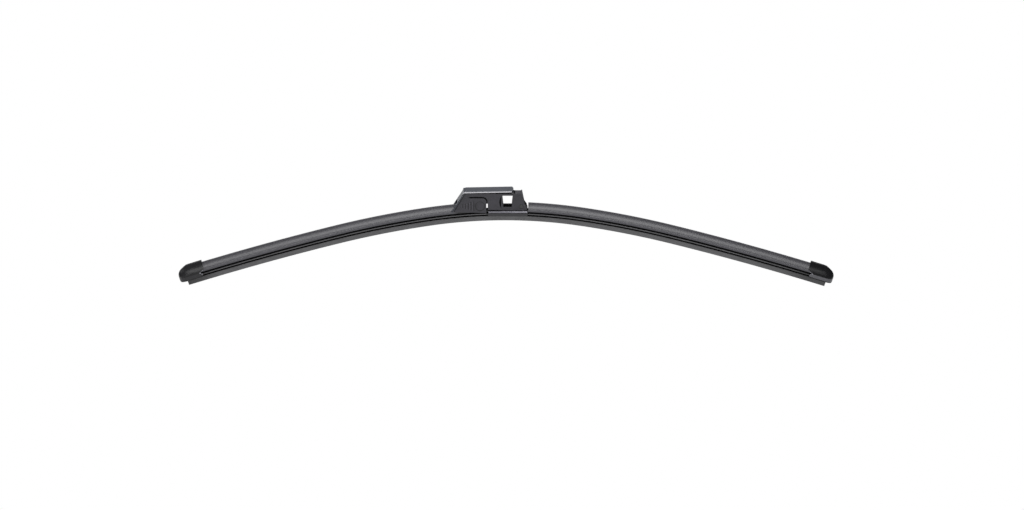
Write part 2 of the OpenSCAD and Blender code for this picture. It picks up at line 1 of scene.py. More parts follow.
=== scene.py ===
"""A flat wiper blade, seen from its windward side: wiping rubber, spring rails, hollow-flanked
spoilers, end caps and the moulded centre adaptor. Lengths are in millimetres until they go into a
mesh, which holds metres: x along the blade, y across it and z up from the top of the lip's curve."""
import math
from contextlib import contextmanager

import bmesh
import bpy
import numpy as np
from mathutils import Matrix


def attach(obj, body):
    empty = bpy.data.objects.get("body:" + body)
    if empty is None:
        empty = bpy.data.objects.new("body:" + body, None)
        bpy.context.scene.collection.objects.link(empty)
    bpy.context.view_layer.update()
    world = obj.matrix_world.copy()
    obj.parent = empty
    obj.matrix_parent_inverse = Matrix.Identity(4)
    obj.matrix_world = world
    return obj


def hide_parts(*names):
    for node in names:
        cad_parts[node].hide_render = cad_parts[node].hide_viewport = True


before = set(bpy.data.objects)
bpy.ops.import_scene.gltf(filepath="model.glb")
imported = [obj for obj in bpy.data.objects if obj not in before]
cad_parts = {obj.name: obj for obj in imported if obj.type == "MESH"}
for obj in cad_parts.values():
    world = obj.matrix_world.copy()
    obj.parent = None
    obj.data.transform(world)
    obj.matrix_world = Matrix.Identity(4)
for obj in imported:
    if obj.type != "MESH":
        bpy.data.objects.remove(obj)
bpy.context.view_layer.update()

# In the names below _W is a width, _H a height, _T a thickness, _R a radius and _LEN a length, and
# _X, _Y and _Z are places. A pair in brackets is a range.

# The frame's origin, in the middle of the arm seat, from the top of the lip's curve
SEAT_X = 11.8
SEAT_Z = 24.2

# The lip's curve: radius and turning angle of each arc, from the middle outwards, the last one open
BEND_R = np.array([422.0, 780.0, 2280.0])
BEND_TURN = np.radians([8.4, 5.8, 90.0])

# Length of the lip on either side of its top
LEFT_LEN = 271.8
RIGHT_LEN = 275.3

# Wiping rubber, with heights above the lip
LIP_W = 0.8
WEDGE_H = 4.4
WEDGE_W = 4.6
WEDGE_BAND = 0.7  # upright band along the wedge's upper edge
WEB_W = 0.9  # thin web on which the wedge tilts
SHOULDER_Z = 5.6
SHOULDER_W = 6.4
SHOULDER_H = 1.3
BEAD_W = 4.8  # body above the shoulder, grooved for the rails
HEAD_H = 0.8  # head over the rails
RUBBER_ROUND = 0.22
LIP_ROUND = 0.08

# Where painted shade darkens the rubber towards each end, by the caps, and the tone it leaves there
END_SHADE_LEFT = (-262.0, -232.0)
END_SHADE_RIGHT = (213.0, 258.0)
END_SHADE_LEFT_TONE = 0.4
END_SHADE_RIGHT_TONE = 0.53

# Rails and the channel round them
RAIL_Z = 8.7  # under side of the rails
RAIL_T = 0.9
RAIL_GAP = 2.4  # between the two rails
RAIL_REACH = 4.8  # from the middle to a rail's outer edge
PLAY = 0.1
HEAD_TOP = RAIL_Z + RAIL_T + PLAY + HEAD_H

# Spoiler
CLAW_W = 11.2  # over both claws
CLAW_Z = 8.0
CLAW_TOP = 10.2
CLAW_GAP = 6.8  # between the claws, under the rails
CLAW_SLOPE = 0.5  # bevel along a claw's lower edge
CLAW_SHADE_BAND = 0.5  # band of painted shade above the bevel
LINE_W = 0.35  # step between a claw and the flank
RIDGE_Z = 15.6
RIDGE_W = 1.3
RIDGE_Y = 1.0
FLANK_R = 12.0
SPOILER_ROUND = 0.28
SPOILER_INSET = 1.0  # from the end of the rubber, inside the cap
LEFT_GAP = 2.0  # between the left spoiler and the base
RIGHT_GAP = 0.4

# Claws' fronts: painted highlight, lighter than the flanks, and painted shadow under the adaptor
CLAW_FACE = (CLAW_W / 2 - 0.3, CLAW_W / 2 - 0.1)
CLAW_HIGHLIGHT_TONE = 1.5
ADAPTOR_SHADOW_START = (-44.0, -38.0)
ADAPTOR_SHADOW_TONE = 0.25

# End caps. Along a cap, t runs outwards from the end of the blade
CAP_COVER = 16.0  # over the blade
CAP_NOSE = 6.12  # beyond its end
CAP_STRAIGHT = 6.0  # stretch before the blade's end that the notch doesn't bend
RIGHT_TAIL = 1.0  # reach of the rubber into the right cap's nose
CAP_GROWTH = 1.45  # the cap's outside over the spoiler's
CAP_PLAY = 0.15
CAP_ROUND = 0.7
HOLLOW_ROUND = 0.3
CAP_POINTS = 150  # round the outside, and as many round the hollow
COVER_RINGS = 18
NOSE_RINGS = 30
CAP_Z = 4.9
BROW_R = 6.5
BROW_LEN = 9.8  # from the middle of the brow's arc to the tip of the nose
NOSE_R = 5.6
NOSE_Z = 9.4
CHIN_R = 1.6
END_STEP = 0.02  # from an end wall to the next ring

# Mouth of a cap: its notch, and how far the skirt below it is set back
NOTCH_W = 4.0
NOTCH_Z = 8.4
NOTCH_LEN = 3.8
SKIRT_BACK = 2.1
SKIRT_RISE = 1.3
MOUTH_POWER = 1.3  # above 1 the notch's sides are hollow, at 1 they are straight
HIGHLIGHT_EDGE_W = 0.5  # band round the notch with a painted highlight
SKIRT_PAINTED_LIGHT = (5.6, 8.3)  # heights between which a skirt has painted light of its own

# Base and the ledge along its sides, whose section is in y and z
BASE_LEFT = -14.0
BASE_RIGHT = 19.2
DECK_LOW = 9.2  # above it the base lies in the dark of the adaptor
LEDGE_X = (-13.6, 18.8)
LEDGE_SECTION = [(7.0, 9.65), (7.3, 9.6), (8.6, 8.6), (8.6, 8.4), (7.0, 7.7)]
LEDGE_ROUND = 0.22

# Adaptor: outer and inner face of its walls, and the cheeks set back from them. The floor of the
# cheeks' groove for the arm's ear is level with the walls' inner face
WALL_OUT = 8.0
WALL_IN = 6.4
CHEEK_FACE = (7.25, 7.45)
CHEEK_TONE = 0.8

# End of the wall's top band, under the cover's plate: outline in x and z, and the stretch in y
BAND_SECTION = [(5.5, 23.7), (8.9, 23.9), (8.9, 24.15), (7.3, 24.62), (5.5, 24.62)]
BAND_Y = (5.9, 7.1)
BAND_ROUND = 0.15

# Wall along a tab's bending line
STRIP_X = (-30.19, -29.92)
STRIP_Y = (7.1, 7.99)
STRIP_Z = (8.62, 20.69)

# Cover: underside of its plate, and the stretches, outwards and upwards, over which its rim has a painted
# highlight
PLATE_LOW = 24.6
RIM_OUT = (8.15, 8.45)
RIM_UP = (PLATE_LOW, PLATE_LOW + 0.3)
RIM_HIGHLIGHT_COLOR = (0.45, 0.445, 0.475)

# Thumb dish and finger ribs of a tab, and the lines of painted shade and highlight beside them
DISH_X = -20.7
DISH_Z = 13.8
DISH_R = 3.9
DISH_LINE = (0.15, 0.6)  # distance from the dish's edge over which its ring of painted shade fades
DISH_SHADE_TONE = 0.3
RIBS_RIGHT = -26.0
RIBS_LEFT = -36.3
RIB_PITCH = 2.3
RIB_HALF = 4.0  # half the length of the rib next to the dish
RIB_SPREAD = 0.28  # what that half loses for each millimetre to the left
RIB_SHADE = 0.75  # how much darker and lighter the painted shade and highlight lines are at most
RIB_SOFT = 0.3  # stretch over which they fade at their ends

# Below this distance, in metres, two points of a mesh are one
WELD = 2e-6


# Outlines, and places along the blade
def mirrored(half):
    """An outline from the (y, z) points of its right half, lowest first, and their mirror images."""
    half = np.asarray(half, float)
    return np.concatenate([half, half[::-1] * [-1, 1]])


def softened(corners, rounding, steps=4):
    """Each corner of a closed outline becomes a short curve: the parabola that starts and ends
    on the two edges, at most the rounding or 0.45 of the edge away from the corner."""
    corners = np.asarray(corners, float)
    ends = []
    for neighbour in (np.roll(corners, 1, 0), np.roll(corners, -1, 0)):
        way = neighbour - corners
        length = np.linalg.norm(way, axis=1)
        ends.append(corners + way * (np.minimum(rounding, 0.45 * length) / length)[:, None])
    t = np.linspace(0, 1, steps)[None, :, None]
    start, corner, end = ends[0][:, None], corners[:, None], ends[1][:, None]
    return ((1 - t) ** 2 * start + 2 * t * (1 - t) * corner + t ** 2 * end).reshape(-1, 2)


def run_along(line):
    """How far each point of a line lies from the first, along the line."""
    return np.concatenate([[0], np.cumsum(np.linalg.norm(np.diff(line, axis=0), axis=1))])


def resampled(line, count):
    """An open line with `count` points at equal steps along it."""
    run = run_along(line)
    want = np.linspace(0, run[-1], count)
    return np.stack([np.interp(want, run, line[:, 0]), np.interp(want, run, line[:, 1])], 1)


def hollow_flank(foot, top, radius, steps=14):
    """Points between foot and top on the arc of the given radius, drawn as the parabola that
    sinks as far below their chord as the arc does."""
    foot, top = np.asarray(foot, float), np.asarray(top, float)
    chord = top - foot
    length = np.linalg.norm(chord)
    sink = radius - math.sqrt(radius ** 2 - length ** 2 / 4)
    inward = np.array([chord[1], -chord[0]]) / length
    t = np.linspace(0, 1, steps)[1:-1, None]
    return foot + chord * t + inward * sink * 4 * t * (1 - t)


def spoiler_side(growth, ridge_y):
    """One side of the spoiler's outline, where y is below 0: claw, step, flank and ridge."""
    reach = CLAW_W / 2 + growth
    foot = [LINE_W - reach, CLAW_TOP + LINE_W]
    top = [ridge_y - RIDGE_W / 2 - growth, RIDGE_Z + growth]
    claw = [[CLAW_SLOPE - reach, CLAW_Z - growth], [-reach, CLAW_Z + CLAW_SLOPE],
            [-reach, CLAW_Z + CLAW_SLOPE + CLAW_SHADE_BAND], [-reach, CLAW_TOP]]
    return np.concatenate([claw, [foot], hollow_flank(foot, top, FLANK_R), [top]])


def spoiler_outer(growth):
    """The outline of the spoiler, from its front claw's foot over the ridge to the rear claw's."""
    rear = spoiler_side(growth, -RIDGE_Y)[::-1] * [-1, 1]
    return np.concatenate([spoiler_side(growth, RIDGE_Y), rear])


def rail_channel():
    """The inner outline of the spoiler, from the rear claw's lip round the rails to the front one's."""
    return mirrored([[CLAW_GAP / 2, CLAW_Z], [CLAW_GAP / 2, RAIL_Z - PLAY],
                     [RAIL_REACH + PLAY, RAIL_Z - PLAY], [RAIL_REACH + PLAY, RAIL_Z + RAIL_T + PLAY],
                     [BEAD_W / 2 + PLAY, RAIL_Z + RAIL_T + PLAY], [BEAD_W / 2 + PLAY, HEAD_TOP + PLAY]])


def lip_frame(s):
    """Place and slope of the lip at the signed length s: x, z and the angle below the horizontal.
    The curve is three arcs that meet smoothly, so each centre lies on the line of the one before."""
    side = np.where(s < 0, -1.0, 1.0)
    s = np.abs(s)
    turned = np.concatenate([[0], np.cumsum(BEND_TURN)[:-1]])
    starts = np.concatenate([[0], np.cumsum(BEND_R * BEND_TURN)[:-1]])
    shift = (BEND_R[:-1] - BEND_R[1:])[:, None] * np.stack([np.sin(turned[1:]), np.cos(turned[1:])], 1)
    centres = np.concatenate([[[0, -BEND_R[0]]], [0, -BEND_R[0]] + np.cumsum(shift, 0)])
    i = np.searchsorted(starts, s, side="right") - 1
    angle = turned[i] + (s - starts[i]) / BEND_R[i]
    x = centres[i, 0] + BEND_R[i] * np.sin(angle)
    z = centres[i, 1] + BEND_R[i] * np.cos(angle)
    return side * x, z, side * angle


def lip_length(x):
    """Length along the lip at which the rails, on the middle arc, are at the distance x from the top."""
    return math.copysign(BEND_R[0] * math.asin(abs(x) / (BEND_R[0] + RAIL_Z)), x)


def placed(x, y, z):
    """Blade millimetres to points in the frame's metres."""
    return np.stack(np.broadcast_arrays(x - SEAT_X, y, z - SEAT_Z), -1) / 1000


def on_blade(s, y, z):
    """Points at the lip length s, the distance y across and the height z above the lip: the lip's
    place, and z times the direction that is square to the lip there."""
    x0, z0, angle = lip_frame(s)
    return placed(x0 + z * np.sin(angle), y, z0 + z * np.cos(angle))


# Meshes
def ring_faces(rings, around):
    """Quads between neighbouring rings; each ring closes on itself."""
    r, c = np.meshgrid(np.arange(rings - 1), np.arange(around), indexing="ij")
    ahead = (c + 1) % around
    corners = [r * around + c, r * around + ahead, (r + 1) * around + ahead, (r + 1) * around + c]
    return np.stack(corners, -1).reshape(-1, 4).tolist()


def closed_faces(rings, around):
    """Quads between neighbouring rings, and a flat face on each end."""
    first = np.arange(around)
    return ring_faces(rings, around) + [first[::-1].tolist(), (first + (rings - 1) * around).tolist()]


def make_mesh(name, points, faces, uv=None):
    """A mesh object from points and a list of faces, with an optional (u, v) for each point."""
    mesh = bpy.data.meshes.new(name)
    mesh.from_pydata(points.reshape(-1, 3).tolist(), [], faces)
    if uv is not None:
        corner = np.empty(len(mesh.loops), np.int32)
        mesh.loops.foreach_get("vertex_index", corner)
        layer = mesh.uv_layers.new(name="run")
        layer.uv.foreach_set("vector", uv.reshape(-1, 2)[corner].astype(np.float32).ravel())
    obj = bpy.data.objects.new(name, mesh)
    bpy.context.scene.collection.objects.link(obj)
    return obj


@contextmanager
def edited(mesh):
    """The mesh opened for bmesh's tools, and written back afterwards."""
    bm = bmesh.new()
    bm.from_mesh(mesh)
    yield bm
    bm.to_mesh(mesh)
    bm.free()


def outward(obj):
    """Turns every face outwards."""
    with edited(obj.data) as bm:
        bmesh.ops.recalc_face_normals(bm, faces=bm.faces)
    return obj


def smooth(obj, angle=32):
    """Smooth shading, with edges sharper than the angle kept crisp."""
    obj.data.shade_smooth()
    obj.data.set_sharp_from_angle(angle=math.radians(angle))
    return obj


def face_values(obj, what):
    """The "center" or the "normal" of each face of a piece."""
    values = np.empty(len(obj.data.polygons) * 3)
    obj.data.polygons.foreach_get(what, values)
    return values.reshape(-1, 3)


def face_places(obj):
    """The middle of each face of a piece, in blade millimetres."""
    return face_values(obj, "center") * 1000 + [SEAT_X, 0, SEAT_Z]


def second_finish(obj, chosen):
    """The chosen faces take the piece's second material, or its third where chosen is 2."""
    obj.data.polygons.foreach_set("material_index", np.asarray(chosen, np.int32))
    return obj


def stations(start, stop, step=4.0):
    """Lip lengths from start to stop, about a step apart."""
    return np.linspace(start, stop, max(2, int(abs(stop - start) / step)))


def swept(name, outline, s, shade_mask):
    """The closed outline carried along the lip lengths s, with flat ends. The texture runs in
    metres: u along the blade, v round the outline. A face takes the second material, painted shade,
    where the outline's points on both its sides have the same number above 0 in the shade mask."""
    points = on_blade(s[:, None], outline[None, :, 0], outline[None, :, 1])
    uv = np.stack(np.broadcast_arrays(s[:, None], run_along(outline)[None, :]), -1) / 1000
    obj = outward(make_mesh(name, points, closed_faces(len(s), len(outline)), uv))
    # Faces that take the painted shade
    in_painted_shade = np.tile((shade_mask > 0) & (shade_mask == np.roll(shade_mask, -1)), len(s) - 1)
    return smooth(second_finish(obj, np.concatenate([in_painted_shade, [False, False]])))


# The pieces of the blade
def wiping_rubber():
    """The rubber: wedge, tilting web, shoulder, bead, grooves for the rails and head. The web and
    the bead with its grooves take painted shade, from the middle of their rounded corners on."""
    corners = mirrored([
        [LIP_W / 2, 0], [WEDGE_W / 2, WEDGE_H - WEDGE_BAND], [WEDGE_W / 2, WEDGE_H], [WEB_W / 2, WEDGE_H],
        [WEB_W / 2, SHOULDER_Z], [SHOULDER_W / 2, SHOULDER_Z], [SHOULDER_W / 2, SHOULDER_Z + SHOULDER_H],
        [BEAD_W / 2, SHOULDER_Z + SHOULDER_H], [BEAD_W / 2, RAIL_Z - PLAY],
        [RAIL_GAP / 2 - PLAY, RAIL_Z - PLAY], [RAIL_GAP / 2 - PLAY, RAIL_Z + RAIL_T + PLAY],
        [BEAD_W / 2, RAIL_Z + RAIL_T + PLAY], [BEAD_W / 2, HEAD_TOP]])
    rounding = np.full(len(corners), RUBBER_ROUND)
    rounding[[0, -1]] = LIP_ROUND
    outline = softened(corners, rounding)
    z = outline[:, 1]
    corner = 1.1 * RUBBER_ROUND
    # Painted shade on the web and on the bead above the shoulder
    web = (z > WEDGE_H - RUBBER_ROUND / 3) & (z < SHOULDER_Z + corner)
    back = z > SHOULDER_Z + SHOULDER_H - corner
    return swept("wiping_rubber_moulding", outline, stations(-LEFT_LEN, RIGHT_LEN), web + 2 * back)


def spoiler(name, start, stop):
    """One spoiler half: hollow flanks, rounded ridge, claws round the rails. The channel and the
    claws' lower edges, with a band above them, take painted shade."""
    outline = softened(np.concatenate([spoiler_outer(0), rail_channel()]), SPOILER_ROUND, 3)
    y, z = outline.T
    inside = (np.abs(y) < RAIL_REACH + 2 * PLAY) & (z < HEAD_TOP + 2 * PLAY)
    # The channel, the claws' lower edges and the band above them get painted shade
    under = z < CLAW_Z + CLAW_SLOPE + CLAW_SHADE_BAND
    return swept(name, outline, stations(start, stop), np.where(inside | under, 1, 0))


def cap_line(growth, rounding):
    """The outline of a cap from its front skirt's foot over the ridge to the rear skirt's foot:
    the spoiler's outline, with skirts straight down in place of the claws' lower edges."""
    reach = CLAW_W / 2 + growth
    claw_edge = 3
    steps = 5
    over = spoiler_outer(growth)[claw_edge:-claw_edge]
    corners = np.concatenate([[[-reach, CAP_Z]], over, [[reach, CAP_Z]]])
    return np.concatenate([corners[:1], softened(corners, rounding, steps)[steps:-steps], corners[-1:]])


def falling_brow(t):
    """Height of the cap's upper edge at t: round brow, straight fall, round front. The fall is the
    line that touches both circles."""
    brow = np.array([CAP_NOSE - BROW_LEN, RIDGE_Z + CAP_GROWTH - BROW_R])
    front = np.array([CAP_NOSE - NOSE_R, NOSE_Z])
    way = front - brow
    angle = math.atan2(way[1], way[0]) + math.acos((BROW_R - NOSE_R) / np.linalg.norm(way))
    normal = np.array([math.cos(angle), math.sin(angle)])
    on_brow = brow[1] + np.sqrt(np.clip(BROW_R ** 2 - np.clip(t - brow[0], 0, None) ** 2, 0, None))
    on_front = front[1] + np.sqrt(np.clip(NOSE_R ** 2 - (t - front[0]) ** 2, 0, None))
    straight = (normal @ brow + BROW_R - normal[0] * t) / normal[1]
    return np.where(t < brow[0] + BROW_R * normal[0], on_brow,
                    np.where(t > front[0] + NOSE_R * normal[0], on_front, straight))


def mouth_depth(z):
    """How far the mouth's edge is drawn back at the height z: most at the notch's point, nothing
    above the notch, and a little all the way down the skirt."""
    above = np.clip((z - NOTCH_Z) / (NOTCH_W / 2), 0, 1) ** MOUTH_POWER
    below = np.clip((NOTCH_Z - z) / SKIRT_RISE, 0, 1) ** MOUTH_POWER
    return NOTCH_LEN * (1 - above) - (NOTCH_LEN - SKIRT_BACK) * below


def across(lines):
    """Points straight from each line's last point back to its first, as many as it has."""
    k = np.linspace(0, 1, lines.shape[1])
    return lines[:, -1:] * (1 - k) + lines[:, :1] * k


def cap_rings(tail):
    """The t, y and z of an end cap's rings, and the run round the mouth. Over the blade a ring is
    the outer line and, backwards, the hollow inside it, with the mouth drawn back round the notch.
    Past the end wall the hollow is the rubber's tunnel as far as the tail, then nothing, and the
    outer line shrinks: heights with the brow above and the chin below the front's height, widths
    with a circle."""
    wall = tail + 2 * PLAY
    t_cover = np.concatenate([[-CAP_COVER], np.linspace(HIGHLIGHT_EDGE_W - CAP_COVER, -CAP_STRAIGHT, COVER_RINGS),
                              np.linspace(-CAP_STRAIGHT, 0, 4)[1:]])
    t_tail = np.array([END_STEP, wall]) if tail else np.zeros(0)
    nose = wall + END_STEP
    t_nose = nose + (CAP_NOSE - nose) * np.sin(np.linspace(0, math.pi / 2, NOSE_RINGS))
    t = np.concatenate([t_cover, t_tail, t_nose])

    half_w = CLAW_W / 2 + CAP_GROWTH
    turn = np.clip((t - CAP_NOSE + CHIN_R) / CHIN_R, 0, 1)
    chin = CAP_Z + CHIN_R * (1 - np.sqrt(1 - turn ** 2))
    high = (falling_brow(t) - NOSE_Z) / (RIDGE_Z + CAP_GROWTH - NOSE_Z)
    deep = (NOSE_Z - chin) / (NOSE_Z - CAP_Z)
    wide = np.sqrt(np.clip(1 - (np.clip(t - CAP_NOSE + half_w, 0, None) / half_w) ** 2, 0, 1))

    outer = resampled(cap_line(CAP_GROWTH, CAP_ROUND), CAP_POINTS)
    rise = outer[:, 1] - NOSE_Z
    outer_y = outer[:, 0] * wide[:, None]
    outer_z = NOSE_Z + rise * np.where(rise > 0, high[:, None], deep[:, None])

    gap = CLAW_GAP / 2
    roof = HEAD_TOP + PLAY
    hollow = resampled(cap_line(CAP_PLAY, HOLLOW_ROUND), CAP_POINTS)[::-1]
    tunnel = resampled(np.array([[gap, CAP_Z], [gap, roof], [-gap, roof], [-gap, CAP_Z]]), CAP_POINTS)
    inner_y, inner_z = across(outer_y), across(outer_z)
    start, stop = len(t_cover), len(t_cover) + len(t_tail)
    inner_y[:start], inner_z[:start] = hollow.T
    inner_y[start:stop], inner_z[start:stop] = tunnel.T

    # The notch is cut in the sides alone, not in the roof of the hollow
    over = np.concatenate([outer, hollow])
    on_side = np.abs(over[:, 0]) > CLAW_W / 2 - 1
    fade = np.clip((-CAP_STRAIGHT - t) / (CAP_COVER - CAP_STRAIGHT), 0, 1)
    rings_t = t[:, None] + fade[:, None] * (mouth_depth(over[:, 1]) * on_side)
    rings_y = np.concatenate([outer_y, inner_y], 1)
    rings_z = np.concatenate([outer_z, inner_z], 1)
    return rings_t, rings_y, rings_z, run_along(over)


def end_cap(name, side, s, tail):
    """An end cap: its rings leaned as the blade is at the lip length s, at the left where side is
    -1, with the first and last ring closed. The notch's edge has a painted highlight, and the
    skirts have painted light of their own."""
    t, y, z, run = cap_rings(tail)
    x0, z0, slope = np.ravel(lip_frame(side * s))
    lean_sin, lean_cos = math.sin(abs(slope)), math.cos(abs(slope))
    points = placed(side * (t * lean_cos + z * lean_sin) + x0, y, z * lean_cos - t * lean_sin + z0)
    rings, around = t.shape
    i = np.arange(CAP_POINTS - 1)
    closing = np.stack([i, around - 1 - i, around - 2 - i, i + 1], -1)
    faces = ring_faces(rings, around) + closing.tolist()
    faces += (closing[:, ::-1] + (rings - 1) * around).tolist()
    uv = np.stack([t, np.broadcast_to(run, t.shape)], -1) / 1000
    obj = make_mesh(name, points, faces, uv)
    with edited(obj.data) as bm:
        bmesh.ops.remove_doubles(bm, verts=bm.verts, dist=WELD)
        bmesh.ops.dissolve_degenerate(bm, dist=WELD / 2, edges=bm.edges)
    places = face_places(outward(obj))
    along, up = (places[:, 0] - x0) * side, places[:, 2] - z0
    height = along * lean_sin + up * lean_cos
    from_mouth = along * lean_cos - up * lean_sin + CAP_COVER
    # Faces with a painted highlight along the notch's edge, and skirt faces with painted light
    edge = (from_mouth < mouth_depth(height) + HIGHLIGHT_EDGE_W) & (np.abs(height - NOTCH_Z) < NOTCH_W / 2)
    skirt = (height > SKIRT_PAINTED_LIGHT[0]) & (height < SKIRT_PAINTED_LIGHT[1])
    return smooth(second_finish(obj, np.where(edge, 2, skirt)), angle=40)


def edged_copy(node, width):
    """A merged copy of a CAD node, its flat faces whole again and its edges rounded, or left sharp
    with flat shading beside them where the width is 0."""
    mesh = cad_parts[node].data.copy()
    obj = bpy.data.objects.new(node + "_moulding", mesh)
    bpy.context.scene.collection.objects.link(obj)
    # Degrees between faces that are one plane, and between faces that meet in an edge
    flat, sharp = 0.5, 28
    with edited(mesh) as bm:
        bmesh.ops.remove_doubles(bm, verts=bm.verts, dist=WELD)
        bmesh.ops.dissolve_limit(bm, angle_limit=math.radians(flat), verts=bm.verts, edges=bm.edges)
    mesh.materials.clear()
    if width:
        rounding = obj.modifiers.new("rounding", "BEVEL")
        rounding.width = width / 1000
        rounding.segments = 2
        rounding.limit_method = "ANGLE"
        rounding.angle_limit = math.radians(sharp)
        rounding.harden_normals = True
        rounding.use_clamp_overlap = True
    else:
        obj.modifiers.new("flat faces", "WEIGHTED_NORMAL").keep_sharp = True
    smooth(obj, sharp)
    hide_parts(node)
    return obj


def base_ledge(name, side):
    """The bead along the base under the adaptor's wall: a small rounded section, drawn along x."""
    section = softened(np.array(LEDGE_SECTION) * [side, 1], LEDGE_ROUND)
    x = np.linspace(*LEDGE_X, num=12)
    points = placed(x[:, None], section[None, :, 0], section[None, :, 1])
    return smooth(outward(make_mesh(name, points, closed_faces(len(x), len(section)))))


def wall_piece(name, outline, y):
    """A piece of the adaptor's wall: the outline in x and z, carried from one y to the other."""
    points = placed(outline[None, :, 0], y[:, None], outline[None, :, 1])
    return smooth(outward(make_mesh(name, points, closed_faces(len(y), len(outline)))))


# Materials
class Recipe:
    """A material under construction: the Principled shader and short ways to add nodes."""

    def __init__(self, name, color, specular, rough=0.4):
        """Starts with one colour, and the roughness that stays where no sheen is added."""
        self.mat = bpy.data.materials.new(name)
        self.mat.use_nodes = True
        self.tree = self.mat.node_tree
        self.shader = self.tree.nodes["Principled BSDF"]
        self.shader.inputs["Base Color"].default_value = (*color, 1)
        self.shader.inputs["Roughness"].default_value = rough
        self.shader.inputs["Specular IOR Level"].default_value = specular
        self.color = color
        self.relief = None

    def node(self, kind, **settings):
        """A new node with the given settings."""
        made = self.tree.nodes.new(kind)
        for key, value in settings.items():
            setattr(made, key, value)
        return made

    def link(self, a, b):
        """Joins an output to an input."""
        self.tree.links.new(a, b)

    def noise(self, *scale, detail=3.0, rough=0.55, source="Object"):
        """Noise at one scale, or one for each axis; source UV runs along and round the blade."""
        where = self.node("ShaderNodeTexCoord")
        mapping = self.node("ShaderNodeMapping")
        mapping.inputs["Scale"].default_value = scale if len(scale) == 3 else scale * 3
        self.link(where.outputs[source], mapping.inputs["Vector"])
        made = self.node("ShaderNodeTexNoise")
        made.inputs["Scale"].default_value = 1.0
        made.inputs["Detail"].default_value = detail
        made.inputs["Roughness"].default_value = rough
        self.link(mapping.outputs["Vector"], made.inputs["Vector"])
        return made.outputs["Fac"]

    def sums(self, operation, a, b=None, c=None):
        """One sum on numbers or outputs."""
        made = self.node("ShaderNodeMath", operation=operation)
        for socket, value in zip(made.inputs, (a, b, c)):
            if hasattr(value, "node"):
                self.link(value, socket)
            elif value is not None:
                socket.default_value = value
        return made.outputs["Value"]

    def place(self, axis):
        """The X, Y or Z of a point, in blade millimetres."""
        where = self.node("ShaderNodeTexCoord")
        apart = self.node("ShaderNodeSeparateXYZ")
        self.link(where.outputs["Object"], apart.inputs["Vector"])
        shift = {"X": SEAT_X, "Y": 0.0, "Z": SEAT_Z}[axis]
        return self.sums("MULTIPLY_ADD", apart.outputs[axis], 1000.0, shift)

    def off_middle(self):
        """The distance of a point from the middle of the blade, across it."""
        return self.sums("ABSOLUTE", self.place("Y"))

    def rise(self, value, low, high, start=0.0, end=1.0):
        """A smooth step from start to end as the value goes from low to high."""
        made = self.node("ShaderNodeMapRange", interpolation_type="SMOOTHSTEP")
        ends = {"From Min": low, "From Max": high, "To Min": start, "To Max": end}
        for name, number in ends.items():
            made.inputs[name].default_value = number
        self.link(value, made.inputs["Value"])
        return made.outputs["Result"]

    def shade(self, fac, darker, lighter):
        """The colour runs from darker to lighter times the base colour as fac goes 0.35 to 0.65."""
        ramp = self.node("ShaderNodeValToRGB")
        for stop, position, tone in zip(ramp.color_ramp.elements, (0.35, 0.65), (darker, lighter)):
            stop.position = position
            stop.color = (*[c * tone for c in self.color], 1)
        self.link(fac, ramp.inputs["Fac"])
        self.link(ramp.outputs["Color"], self.shader.inputs["Base Color"])

    def faded(self, share):
        """The colour so far is multiplied by a number that varies over the piece."""
        held = self.shader.inputs["Base Color"]
        dimmed = self.node("ShaderNodeVectorMath", operation="SCALE")
        self.link(held.links[0].from_socket, dimmed.inputs[0])
        self.link(share, dimmed.inputs["Scale"])
        self.link(dimmed.outputs["Vector"], held)

    def painted_highlight(self, share, color):
        """Painted highlight: the colour so far gives way to another one where the share is 1."""
        held = self.shader.inputs["Base Color"]
        mix = self.node("ShaderNodeMix", data_type="RGBA")
        factor, first, second = mix.inputs[0], mix.inputs[6], mix.inputs[7]
        self.link(share, factor)
        self.link(held.links[0].from_socket, first)
        second.default_value = (*color, 1)
        self.link(mix.outputs[2], held)

    def sheen(self, fac, smoothest, roughest):
        """The roughness runs from one value to the other as fac goes 0.3 to 0.7."""
        spread = self.node("ShaderNodeMapRange")
        ends = {"From Min": 0.3, "From Max": 0.7, "To Min": smoothest, "To Max": roughest}
        for name, number in ends.items():
            spread.inputs[name].default_value = number
        self.link(fac, spread.inputs["Value"])
        self.link(spread.outputs["Result"], self.shader.inputs["Roughness"])

    def bump(self, fac, depth, strength):
        """Adds relief of the given depth in millimetres over what is there already."""
        made = self.node("ShaderNodeBump")
        made.inputs["Distance"].default_value = depth / 1000
        made.inputs["Strength"].default_value = strength
        self.link(fac, made.inputs["Height"])
        if self.relief is not None:
            self.link(self.relief, made.inputs["Normal"])
        self.relief = made.outputs["Normal"]
        self.link(self.relief, self.shader.inputs["Normal"])


